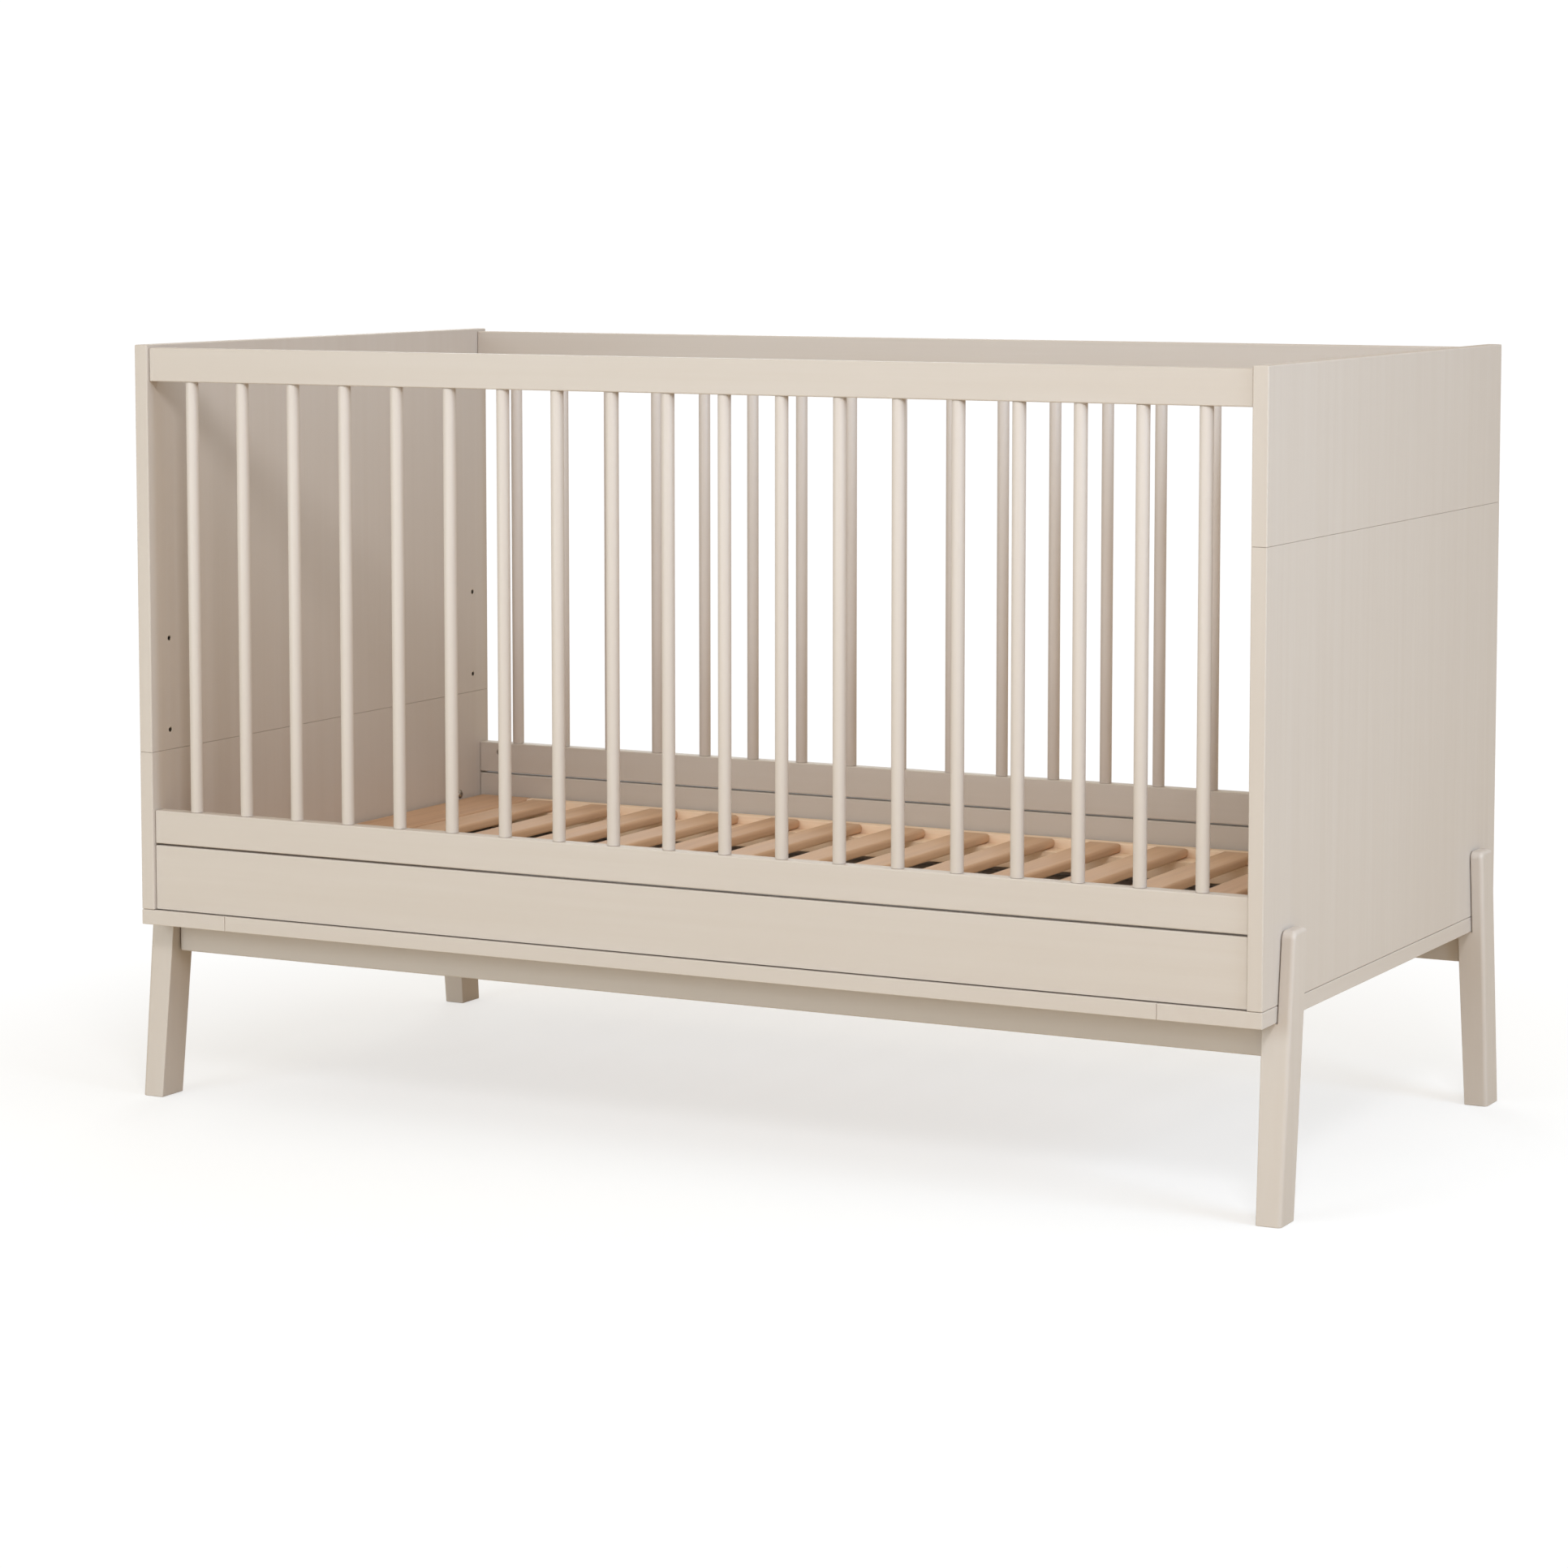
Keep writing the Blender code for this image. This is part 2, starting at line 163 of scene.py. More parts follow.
def lacquer(name, along, light=CREAM, deep=CREAM_DEEP):
    """Satin cream lacquer on wood whose grain runs along one axis."""
    finish = bpy.data.materials.new(name)
    finish.use_nodes = True
    tree = finish.node_tree
    shader = tree.nodes["Principled BSDF"]
    figure = grain_noise(tree, stretched(along, *FIGURE), detail=3.0, roughness=0.6)
    fibres = grain_noise(tree, stretched(along, *FIBRES), detail=2.0)
    mist = grain_noise(tree, MIST, detail=1.0)
    cloud = grain_noise(tree, CLOUD, detail=2.0)
    worn = spread(tree, near_edge(tree, WORN_WIDTH), *WORN_TURN, 0.0, WORN_SHARE)
    tone = blended(tree, spread(tree, figure, *MIDDLE, 0.0, FIGURE_SHARE), light, deep)
    tone = blended(tree, spread(tree, cloud, *MIDDLE, 0.0, CLOUD_SHARE), tone, deep)
    tree.links.new(blended(tree, worn, tone, WORN_CREAM), shader.inputs["Base Color"])
    tree.links.new(spread(tree, fibres, *WIDE, *SATIN), shader.inputs["Roughness"])
    relief = raised(tree, fibres, *FIBRE_RELIEF)
    relief = raised(tree, mist, *MIST_RELIEF, relief)
    tree.links.new(raised(tree, figure, *FIGURE_RELIEF, relief), shader.inputs["Normal"])
    shader.inputs["IOR"].default_value = LACQUER_IOR
    return finish


def board(low, high):
    """A board between two corners, all of its edges marked to be eased."""
    low, high = Vector(low), Vector(high)
    shape = bmesh.new()
    place = Matrix.Translation((low + high) / 2) @ Matrix.Diagonal((*(high - low), 1))
    bmesh.ops.create_cube(shape, size=1, matrix=place)
    ease = shape.edges.layers.float.new("bevel_weight_edge")
    for edge in shape.edges:
        edge[ease] = 1
    return shape


def fit(name, shape, finish, nodes=(), body="crib_frame", ease=0.0):
    """Finishes a piece: its eased edges, its body and the nodes that it replaces."""
    for face in shape.faces:
        face.smooth = True
    mesh = bpy.data.meshes.new(name)
    shape.to_mesh(mesh)
    shape.free()
    mesh.materials.append(finish)
    piece = bpy.data.objects.new(name, mesh)
    bpy.context.scene.collection.objects.link(piece)
    if ease:
        eased = piece.modifiers.new("eased edges", "BEVEL")
        eased.limit_method = "WEIGHT"
        eased.width = ease
        eased.segments = EASE_STEPS
        flat = piece.modifiers.new("flat faces shade flat", "WEIGHTED_NORMAL")
        flat.keep_sharp = True
    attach(piece, body)
    if nodes:
        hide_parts(*nodes)
    return piece


cream_x = lacquer("cream_lacquer_lengthways", "X")
cream_y = lacquer("cream_lacquer_crossways", "Y")
cream_z = lacquer("cream_lacquer_upright", "Z")

low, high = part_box("base_frame")
inner_x = high.x - FRAME_BOARD
inner_y = high.y - FRAME_BOARD
half = inner_x - 2 * JOINT
for end, side_x in (("foot", -1), ("head", 1)):
    near, far = sorted((side_x * inner_x, side_x * high.x))
    across = board((near, low.y, low.z), (far, high.y, high.z))
    fit(f"base_board_{end}", across, cream_y, ["base_frame"], ease=FRAME_EASE)
for side, side_y in (("front", -1), ("rear", 1)):
    near, far = sorted((side_y * inner_y, side_y * high.y))
    along = board((-half, near, low.z), (half, far, high.z))
    fit(f"base_board_{side}", along, cream_x, ["base_frame"], ease=FRAME_EASE)


# ---- Legs ------------------------------------------------------------------------------------
# Four solid beech legs that splay to the front and rear. Below the base frame a leg is thick and
# tapers a little to the floor; above it only a thinner cheek goes on, bolted to the end panel.
# The cheek's top corners and outer edges are rounded over, the foot is cut level.
LEG_LEAN = math.radians(6)
LEG_DEPTH = 0.0425  # along Y
LEG_SHOULDER = 0.0175  # how far the thick part reaches in under the base frame
LEG_TAPER = 0.004  # how much thinner the thick part is at the floor
LEG_TOP_ROUND = 0.009
LEG_TOP_STEPS = 8
LEG_OVER = 0.005  # rounding over the outer edges
LEG_OVER_STEPS = 6
LEG_OFF_PANEL = 0.0008  # hairline gap between the cheek and the end panel
LEG_ARRIS = 0.0018  # sanding of the cheek's edges beside that gap
LEG_ARRIS_BELOW = 0.65  # the thick part's edges are sanded this much of that
LEG_CURVE = math.radians(30)  # an edge that turns less than this lies within a rounding


def rounded(shape, edges, radius, steps):
    """Rounds some edges of a shape."""
    bmesh.ops.bevel(
        shape, geom=edges, offset=radius, segments=steps, profile=0.5, affect="EDGES", material=-1
    )


def leg_blank(inner, outer, reach, shoulder, top):
    """A leaning cheek down to the floor, with the thick part grown inwards below the shoulder."""
    shape = bmesh.new()
    middle = Matrix.Translation(((inner + outer) / 2, 0.5, top / 2))
    place = middle @ Matrix.Diagonal((outer - inner, 1, top, 1))
    for vert in bmesh.ops.create_cube(shape, size=1, matrix=place)["verts"]:
        vert.co.y = reach - vert.co.z * math.tan(LEG_LEAN) - LEG_DEPTH * (1 - vert.co.y)
    everything = shape.verts[:] + shape.edges[:] + shape.faces[:]
    bmesh.ops.bisect_plane(shape, geom=everything, plane_co=(0, 0, shoulder), plane_no=(0, 0, 1))
    shape.normal_update()
    inside = [f for f in shape.faces if f.normal.x < -FACING]
    below = [f for f in inside if f.calc_center_median().z < shoulder]
    grown = bmesh.ops.extrude_face_region(shape, geom=below)["geom"]
    bmesh.ops.delete(shape, geom=below, context="FACES_ONLY")
    for vert in (v for v in grown if isinstance(v, bmesh.types.BMVert)):
        vert.co.x -= LEG_SHOULDER - LEG_TAPER * (1 - vert.co.z / shoulder)
    return shape


def round_leg(shape, outer, top):
    """Rounds the cheek's two top corners, and then the edges of the outer face except the foot's."""
    end_grain = [e for e in shape.edges if min(v.co.z for v in e.verts) > top - SAME]
    corners = [e for e in end_grain if abs(e.verts[0].co.x - e.verts[1].co.x) > SAME]
    rounded(shape, corners, LEG_TOP_ROUND, LEG_TOP_STEPS)
    outside = [e for e in shape.edges if min(v.co.x for v in e.verts) > outer - SAME]
    above_foot = [e for e in outside if max(v.co.z for v in e.verts) > SAME]
    rim = [e for e in above_foot if e.calc_face_angle() > LEG_LEAN]
    rounded(shape, rim, LEG_OVER, LEG_OVER_STEPS)


def mark_leg(shape, inner, shoulder):
    """Marks the edges to be sanded: of the thick part, round the foot and beside the panel."""
    ease = shape.edges.layers.float.new("bevel_weight_edge")
    for edge in shape.edges:
        heights = [v.co.z for v in edge.verts]
        places = [v.co.x for v in edge.verts]
        upright = min(places) < inner - SAME and abs(heights[0] - heights[1]) > LEG_DEPTH
        beside_panel = max(places) < inner + SAME and min(heights) > shoulder - SAME
        if upright or max(heights) < SAME:
            edge[ease] = LEG_ARRIS_BELOW
        elif beside_panel and max(heights) > shoulder + SAME:
            edge[ease] = 1


def leg(node):
    """One leg, worked as the head end's rear one and mirrored to its own corner."""
    low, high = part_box(node)
    side_x = 1 if high.x > 0 else -1
    side_y = 1 if high.y > 0 else -1
    reach = max(abs(low.y), abs(high.y))
    outer = max(abs(low.x), abs(high.x))
    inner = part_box("base_frame")[1].x + LEG_OFF_PANEL
    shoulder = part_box("base_frame")[0].z - 2 * JOINT
    shape = leg_blank(inner, outer, reach, shoulder, high.z)
    round_leg(shape, outer, high.z)
    mark_leg(shape, inner, shoulder)
    bmesh.ops.scale(shape, verts=shape.verts, vec=(side_x, side_y, 1))
    shape.normal_update()
    bmesh.ops.recalc_face_normals(shape, faces=shape.faces)
    ease = shape.edges.layers.float["bevel_weight_edge"]
    for edge in shape.edges:
        edge.smooth = edge.calc_face_angle() < LEG_CURVE or edge[ease] > 0
    return shape


for end in ("foot", "head"):
    for side in ("front", "rear"):
        node = f"leg_{end}_{side}"
        fit(f"beech_{node}", leg(node), cream_z, [node], ease=LEG_ARRIS)


# ---- Stretchers ------------------------------------------------------------------------------
# A rail under each long side of the base frame, doweled between the thick parts of two legs.
# Solid beech, lacquered like the legs, with lightly sanded edges.
STRETCHER_EASE = 0.002

for side in ("front", "rear"):
    node = f"{side}_stretcher"
    fit(f"beech_{node}", board(*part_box(node)), cream_x, [node], ease=STRETCHER_EASE)


# ---- End panels ------------------------------------------------------------------------------
# Each end is two upright boards, one doweled on the other, so that the upper one comes off when
# the cot becomes a toddler bed. On the inner faces blind holes at three heights, lined with
# threaded steel inserts, take the pins under the mattress base.
PIN_Y = 0.347
PIN_LEVELS = (0.2647, 0.448, 0.559)
PIN_HOLE = 0.0034
PIN_HOLE_DEPTH = 0.0125
HOLE_SIDES = 16
HOLE_ROOM = 1.4  # a hole is drilled in a square cell that reaches this many radii from its middle
RIM = 0.25  # a drilled rim is eased this much of what the board's own edges are
SEAM = 0.30  # the edges where the two boards meet are eased this much of it


def containing(shape, point, normal):
    """The flat face of a shape that looks along normal and holds a point."""
    for face in shape.faces:
        sides = list(zip(*(v.co for v in face.verts)))
        inside = all(min(s) - SAME <= p <= max(s) + SAME for s, p in zip(sides, point))
        if inside and face.normal.dot(normal) > FACING:
            return face


def bore(shape, mouth, normal, radius, depth):
    """Drills a blind round hole into a flat face that looks along normal."""
    mouth, normal = Vector(mouth), Vector(normal)
    ways = [axis for axis in Matrix.Identity(3) if abs(axis.dot(normal)) < FACING]
    shape.normal_update()
    for way in (ways[0], -ways[0], ways[1], -ways[1]):
        face = containing(shape, mouth, normal)
        patch = [face] + face.edges[:] + face.verts[:]
        side = mouth + way * radius * HOLE_ROOM
        bmesh.ops.bisect_plane(shape, geom=patch, dist=SAME, plane_co=side, plane_no=way)
    cell = containing(shape, mouth, normal)
    bmesh.ops.bisect_edges(shape, edges=cell.edges[:], cuts=HOLE_SIDES // 4 - 1)
    disc = bmesh.ops.extrude_discrete_faces(shape, faces=[containing(shape, mouth, normal)])["faces"][0]
    for vert in disc.verts:
        vert.co = mouth + (vert.co - mouth).normalized() * radius
    ease = shape.edges.layers.float["bevel_weight_edge"]
    for edge in disc.edges:
        edge[ease] = RIM
    disc = bmesh.ops.extrude_discrete_faces(shape, faces=[disc])["faces"][0]
    bmesh.ops.translate(shape, verts=disc.verts, vec=-normal * depth)
    for edge in disc.edges:
        edge.smooth = False
        edge[ease] = 0


panel_inner_x = abs(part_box("foot_panel_lower")[1].x)
for end, side_x in (("foot", -1), ("head", 1)):
    for part in ("lower", "upper"):
        node = f"{end}_panel_{part}"
        low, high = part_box(node)
        panel = board(low, high)
        seam_z = high.z if part == "lower" else low.z
        ease = panel.edges.layers.float["bevel_weight_edge"]
        for edge in panel.edges:
            if all(abs(v.co.z - seam_z) < SAME for v in edge.verts):
                edge[ease] = SEAM
        for level in (z for z in PIN_LEVELS if low.z < z < high.z):
            for y in (-PIN_Y, PIN_Y):
                mouth = (side_x * panel_inner_x, y, level)
                bore(panel, mouth, (-side_x, 0, 0), PIN_HOLE, PIN_HOLE_DEPTH)
        fit(f"board_{node}", panel, cream_z, [node], ease=EASE)


# ---- Threaded inserts ------------------------------------------------------------------------
# Zinc-plated steel sleeves, turned from the bar and screwed into the pin holes until they sit
# just under the surface. The lowest four lie behind the support pins' heads and are left out.
ZINC = (0.56, 0.53, 0.48)
ZINC_DULL = (0.32, 0.29, 0.25)
ZINC_CLOUD = (260.0, 260.0, 260.0)  # dull patches to the metre
ZINC_PATCH = (0.4, 0.7)  # the noise's values where a patch starts and where it is dullest
ZINC_TURNING = (2600.0, 2600.0, 2600.0)  # tool marks to the metre
ZINC_RELIEF = (0.00002, 0.4)
ZINC_ROUGHNESS = (0.26, 0.48)
TURNED_CURVE = math.radians(35)  # an edge that turns less than this lies within a turned curve
INSERT_OUTER = 0.0033
INSERT_BORE = 0.0025
INSERT_SET_IN = 0.0006
INSERT_LENGTH = 0.010


def plated_steel(name):
    """Bright zinc plating, a little clouded."""
    finish = bpy.data.materials.new(name)
    finish.use_nodes = True
    tree = finish.node_tree
    shader = tree.nodes["Principled BSDF"]
    cloud = grain_noise(tree, ZINC_CLOUD, detail=3.0)
    turning = grain_noise(tree, ZINC_TURNING, detail=1.0)
    dulled = blended(tree, spread(tree, cloud, *ZINC_PATCH, 0.0, 1.0), ZINC, ZINC_DULL)
    tree.links.new(dulled, shader.inputs["Base Color"])
    tree.links.new(spread(tree, cloud, *WIDE, *ZINC_ROUGHNESS), shader.inputs["Roughness"])
    tree.links.new(raised(tree, turning, *ZINC_RELIEF), shader.inputs["Normal"])
    shader.inputs["Metallic"].default_value = 1.0
    return finish


def turned(profile, start, axis, steps):
    """A closed piece turned about an axis from (radius, distance along the axis) points."""
    shape = bmesh.new()
    points = [shape.verts.new((radius, 0, height)) for radius, height in profile]
    outline = points + [shape.edges.new(pair) for pair in zip(points, points[1:])]
    bmesh.ops.spin(
        shape, geom=outline, cent=(0, 0, 0), axis=(0, 0, 1), angle=math.tau, steps=steps, use_merge=True
    )
    bmesh.ops.remove_doubles(shape, verts=shape.verts, dist=1e-6)
    place = Matrix.Translation(start) @ Vector(axis).to_track_quat("Z", "Y").to_matrix().to_4x4()
    bmesh.ops.transform(shape, matrix=place, verts=shape.verts)
    shape.normal_update()
    bmesh.ops.recalc_face_normals(shape, faces=shape.faces)
    for edge in shape.edges:
        edge.smooth = edge.calc_face_angle() < TURNED_CURVE
    return shape


zinc = plated_steel("zinc_plated_steel")
sleeve = (
    (INSERT_BORE, INSERT_SET_IN),
    (INSERT_OUTER, INSERT_SET_IN),
    (INSERT_OUTER, INSERT_LENGTH),
    (INSERT_BORE, INSERT_LENGTH),
    (INSERT_BORE, INSERT_SET_IN),
)
for end, side_x in (("foot", -1), ("head", 1)):
    for side, side_y in (("front", -1), ("rear", 1)):
        for number, level in enumerate(PIN_LEVELS[1:], 2):
            mouth = (side_x * panel_inner_x, side_y * PIN_Y, level)
            insert = turned(sleeve, mouth, (side_x, 0, 0), HOLE_SIDES)
            fit(f"insert_{end}_{side}_{number}", insert, zinc)


# ---- Aprons ----------------------------------------------------------------------------------
# A board under each barred side that closes it down to the base frame and stiffens it. It stops
# just short of the bottom rail, which leaves a narrow shadow groove along the whole side, and a
# finer one shows where it stands on the base frame.
STAND_OFF = 0.001
STAND_EASE = 0.3  # the lower edges are eased this much of what the others are

for side in ("front", "rear"):
    node = f"{side}_apron"
    low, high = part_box(node)
    apron = board(low + Vector((0, 0, STAND_OFF)), high)
    ease = apron.edges.layers.float["bevel_weight_edge"]
    for edge in apron.edges:
        if all(v.co.z < (low.z + high.z) / 2 for v in edge.verts):
            edge[ease] = STAND_EASE
    fit(f"board_{node}", apron, cream_x, [node], ease=EASE)


# ---- Rails -----------------------------------------------------------------------------------
# The top and bottom rail of each barred side: solid beech, with a row of blind holes that the
# bars are glued into, and rounded a little more than the boards because hands rest on them.
RAIL_EASE = 0.002
BAR_COUNT = 19
BAR_PITCH = 0.0718
TENON = 0.005
SOCKET_DEPTH = 0.011
CAM_FROM_END = 0.031
CAM_BELOW_TOP = 0.0135
CAM_HOLE = 0.0052
CAM_HOLE_DEPTH = 0.012


def cam_mouth(side, side_x):
    """Where a cam's hole opens on the inner face of a bottom rail, and the way it looks."""
    low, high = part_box(f"{side}_bottom_rail")
    face_y, inward = (high.y, 1) if side == "front" else (low.y, -1)
    return (side_x * (high.x - CAM_FROM_END), face_y, high.z - CAM_BELOW_TOP), (0, inward, 0)


bar_places = [(i - (BAR_COUNT - 1) / 2) * BAR_PITCH for i in range(BAR_COUNT)]
for side in ("front", "rear"):
    for level, up in (("top", -1), ("bottom", 1)):
        node = f"{side}_{level}_rail"
        low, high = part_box(node)
        rail = board(low, high)
        face_z = low.z if level == "top" else high.z
        for x in bar_places:
            mouth = (x, (low.y + high.y) / 2, face_z)
            bore(rail, mouth, (0, 0, up), TENON + 2 * JOINT, SOCKET_DEPTH)
        if level == "bottom":
            for side_x in (-1, 1):
                bore(rail, *cam_mouth(side, side_x), CAM_HOLE, CAM_HOLE_DEPTH)
        fit(f"beech_{node}", rail, cream_x, [node], ease=RAIL_EASE)


# ---- Cam locks -------------------------------------------------------------------------------
# Zinc cams let into the inner face of each bottom rail near its ends. Turned a half turn with a
# screwdriver, each one draws the rail tight against the end panel.
CAM_RADIUS = 0.0047
CAM_THICK = 0.009
CAM_SET_IN = 0.0008
CAM_EASE = 0.0004
CAM_SLOT = 0.0016
CAM_SLOT_HALF = 0.0034
CAM_SLOT_DEPTH = 0.0022
CAM_STEPS = 32
CAM_TURN = math.radians(35)  # how far the slot is turned from level
SQUARE = math.radians(60)  # an edge that turns more than this is a corner to ease


def cam(mouth, axis):
    """A round cam with a screwdriver slot across its face, set a little way into its hole."""
    shape = bmesh.new()
    place = Matrix.Translation((0, 0, -CAM_SET_IN - CAM_THICK / 2))
    round_of = {"radius1": CAM_RADIUS, "radius2": CAM_RADIUS, "depth": CAM_THICK, "matrix": place}
    bmesh.ops.create_cone(shape, cap_ends=True, segments=CAM_STEPS, **round_of)
    for way, half in (((1, 0, 0), CAM_SLOT_HALF), ((0, 1, 0), CAM_SLOT / 2)):
        for side in (-1, 1):
            everything = shape.verts[:] + shape.edges[:] + shape.faces[:]
            cut = Vector(way) * side * half
            bmesh.ops.bisect_plane(shape, geom=everything, plane_co=cut, plane_no=way)
    slot = containing(shape, (0, 0, -CAM_SET_IN), Vector((0, 0, 1)))
    floor_of_slot = bmesh.ops.extrude_discrete_faces(shape, faces=[slot])["faces"][0]
    bmesh.ops.translate(shape, verts=floor_of_slot.verts, vec=(0, 0, -CAM_SLOT_DEPTH))
    facing = Vector(axis).to_track_quat("Z", "Y").to_matrix().to_4x4()
    turn = facing @ Matrix.Rotation(CAM_TURN, 4, "Z")
    bmesh.ops.transform(shape, matrix=Matrix.Translation(mouth) @ turn, verts=shape.verts)
    shape.normal_update()
    ease = shape.edges.layers.float.new("bevel_weight_edge")
    for edge in shape.edges:
        edge[ease] = 1 if edge.calc_face_angle() > SQUARE else 0
    return shape


for side in ("front", "rear"):
    for end, side_x in (("foot", -1), ("head", 1)):
        lock = cam(*cam_mouth(side, side_x))
        fit(f"cam_lock_{end}_{side}", lock, zinc, ease=CAM_EASE)


# ---- Bars ------------------------------------------------------------------------------------
# Nineteen turned beech dowels in each side, 15 mm thick, with a thinner tenon at each end.
# Their shoulders are softened on the lathe, so each bar meets its rail with a fine dark line.
BAR_SOFT = 0.0006  # softening of a shoulder
BAR_SOFT_MIDDLE = 0.3  # the softening's middle point lies this share of it from each face
BAR_STEPS = 32
BAR_CREAM = (0.648, 0.590, 0.548)
BAR_CREAM_DEEP = (0.630, 0.568, 0.522)
cream_bars = lacquer("cream_lacquer_bars", "Z", BAR_CREAM, BAR_CREAM_DEEP)


def bar_outline(radius, length, tenon_length):
    """Half of a bar's outline, from the end of one tenon to the end of the other."""
    inset = BAR_SOFT * BAR_SOFT_MIDDLE
    return (
        (0, -tenon_length),
        (TENON, -tenon_length),
        (TENON, 0),
        (radius - BAR_SOFT, 0),
        (radius - inset, inset),
        (radius, BAR_SOFT),
        (radius, length / 2),
        (radius, length - BAR_SOFT),
        (radius - inset, length - inset),
        (radius - BAR_SOFT, length),
        (TENON, length),
        (TENON, length + tenon_length),
        (0, length + tenon_length),
    )


for side in ("front", "rear"):
    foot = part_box(f"{side}_bottom_rail")[1].z + JOINT
    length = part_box(f"{side}_top_rail")[0].z - JOINT - foot
    for number in range(1, BAR_COUNT + 1):
        node = f"{side}_bar_{number:02}"
        low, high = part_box(node)
        middle = (low + high) / 2
        outline = bar_outline((high.x - low.x) / 2, length, foot - low.z)
        bar = turned(outline, (middle.x, middle.y, foot), (0, 0, 1), BAR_STEPS)
        fit(f"dowel_{node}", bar, cream_bars, [node])


# ---- Leg bolts -------------------------------------------------------------------------------
# A steel bolt goes through the end panel into each leg's cheek. Its low domed head, with a small
# socket for the key, sits on the panel's inner face just above the mattress base.
BOLT_Y = 0.311
BOLT_Z = 0.2885
BOLT_RADIUS = 0.0055
BOLT_HEIGHT = 0.0026
BOLT_DOME = ((1.0, 0.35), (0.93, 0.62), (0.78, 0.86), (0.58, 1.0))  # shares of radius and height
BOLT_SOCKET = 0.0021
BOLT_SOCKET_DEPTH = 0.0018
BOLT_SHANK = 0.003
BOLT_SHANK_LENGTH = 0.004  # as much of the shank as is made, inside the panel
BOLT_STEPS = 24

bolt_outline = (
    (0, -BOLT_SHANK_LENGTH),
    (BOLT_SHANK, -BOLT_SHANK_LENGTH),
    (BOLT_SHANK, 0),
    (BOLT_RADIUS, 0),
    *((BOLT_RADIUS * out, BOLT_HEIGHT * up) for out, up in BOLT_DOME),
    (BOLT_SOCKET, BOLT_HEIGHT),
    (BOLT_SOCKET, BOLT_HEIGHT - BOLT_SOCKET_DEPTH),
    (0, BOLT_HEIGHT - BOLT_SOCKET_DEPTH),
)
for end, side_x in (("foot", -1), ("head", 1)):
    for side, side_y in (("front", -1), ("rear", 1)):
        seat = (side_x * panel_inner_x, side_y * BOLT_Y, BOLT_Z)
        bolt = turned(bolt_outline, seat, (-side_x, 0, 0), BOLT_STEPS)
        fit(f"leg_bolt_{end}_{side}", bolt, zinc)


# ---- Slatted mattress base -------------------------------------------------------------------
# Bare pine: two pale side bearers with a ledge inside, fourteen slats glued on the ledges between
# them and a wide board over each end. The slats' long edges are rounded over, the rest is sanded.
# It rests on the support pins and lifts out in one piece to be set higher.
PINE = (0.620, 0.405, 0.265)
PINE_LATE = (0.480, 0.280, 0.165)
PINE_PALE = (0.690, 0.490, 0.340)
SAPWOOD = (0.900, 0.705, 0.530)
SAPWOOD_LATE = (0.800, 0.575, 0.400)
SAPWOOD_PALE = (0.930, 0.760, 0.600)
RINGS = (55.0, 2.2)  # growth rings to the metre, across the grain and along it
PINE_FIBRES = (900.0, 14.0)
RINGS_BEND = 0.6
LATE_WOOD = (0.42, 0.66)  # the rings' values where the late wood starts and where it is darkest
LATE_FIBRE = (0.45, 0.75)  # and the fibres'
RINGS_SHARE = 0.85  # how much of the late wood's colour the rings take, and the fibres
FIBRES_SHARE = 0.25
PALE_SHARE = 0.5  # how much of the pale colour the palest piece takes
PLANED = (0.66, 0.54)  # roughness of early and late wood
RINGS_RELIEF = (0.0004, 0.3)
PLANED_RELIEF = (0.0002, 0.5)
GRAIN_SHIFT = (1.0, 7.3, 3.1)  # a piece's tone moves its grain this much each way
TONE_STEP = 0.618  # from one slat's tone to the next one's, past 1 from 0 again
BEARER_TONE = {"front": 0.95, "rear": 0.85}
LEDGE_TONE = {"front": 0.62, "rear": 0.48}
SLAT_COUNT = 14
SLAT_WIDTH = 0.045
SLAT_PITCH = 0.0905
SLAT_THICK = 0.012
SLAT_ROUND = 0.0045  # rounding over the long edges
SLAT_ROUND_STEPS = 5
SLAT_EASE = 0.0012  # light sanding of all the others
END_WIDTH = 0.080
BEARER_OUTER_Y = 0.358
BEARER_THICK = 0.014
LEDGE_WIDE = 0.028
BEARER_HALF = 0.680


